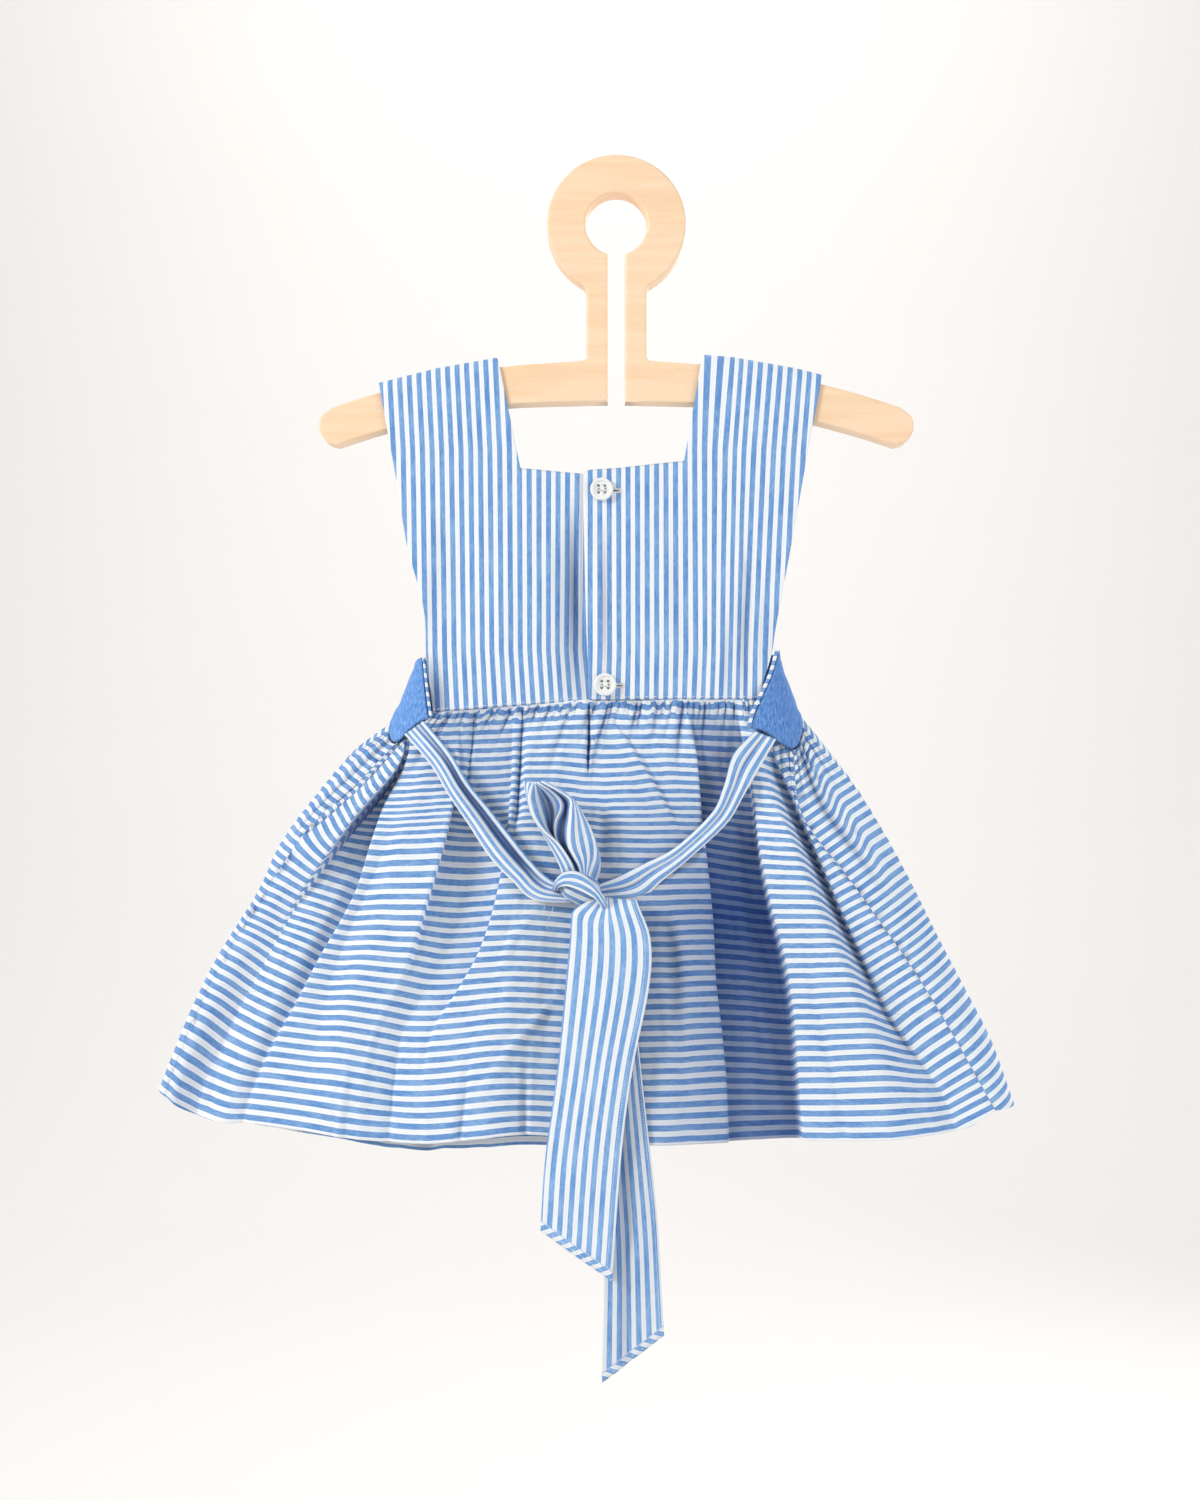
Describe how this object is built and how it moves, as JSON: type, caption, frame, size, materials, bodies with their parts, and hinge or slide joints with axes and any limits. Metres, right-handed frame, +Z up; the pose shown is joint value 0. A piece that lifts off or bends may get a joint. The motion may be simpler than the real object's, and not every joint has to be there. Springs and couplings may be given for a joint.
{
  "type": "toddler pinafore dress on a wooden hanger",
  "caption": "Toddler's striped pinafore dress, buttoned down the back, with blue side wings, gathered skirt and tied sash, on a flat wooden keyhole hanger.",
  "frame": {"origin": "top of the hole in the hanger's ring, where a nail or hook carries it, half way through the board", "axes": "+Z up, +X to the right of someone who looks at the buttoned back, -Y out of the buttoned back, +Y towards the wall"},
  "size_m": [0.4794, 0.0761, 0.6738],
  "materials": {
    "striped_cotton": "plain weave cotton, narrow blue and white stripes, matte",
    "blue_chambray": "plain weave blue chambray, matte",
    "button_resin": "off-white resin, soft gloss",
    "maple_wood": "pale maple, fine sanded"
  },
  "bodies": {
    "root": {"hanger": "maple_wood", "bodice_back_left": "striped_cotton", "bodice_back_right": "striped_cotton", "bodice_front": "striped_cotton", "wing_left": "blue_chambray", "wing_right": "blue_chambray", "binding_left": "striped_cotton", "binding_right": "striped_cotton", "skirt_back": "striped_cotton", "skirt_front": "striped_cotton", "sash_left": "striped_cotton", "sash_right": "striped_cotton", "sash_knot": "striped_cotton", "sash_loop": "striped_cotton", "sash_tail_front": "striped_cotton", "sash_tail_back": "striped_cotton", "button_upper": "button_resin", "button_lower": "button_resin"}
  },
  "joints": []
}
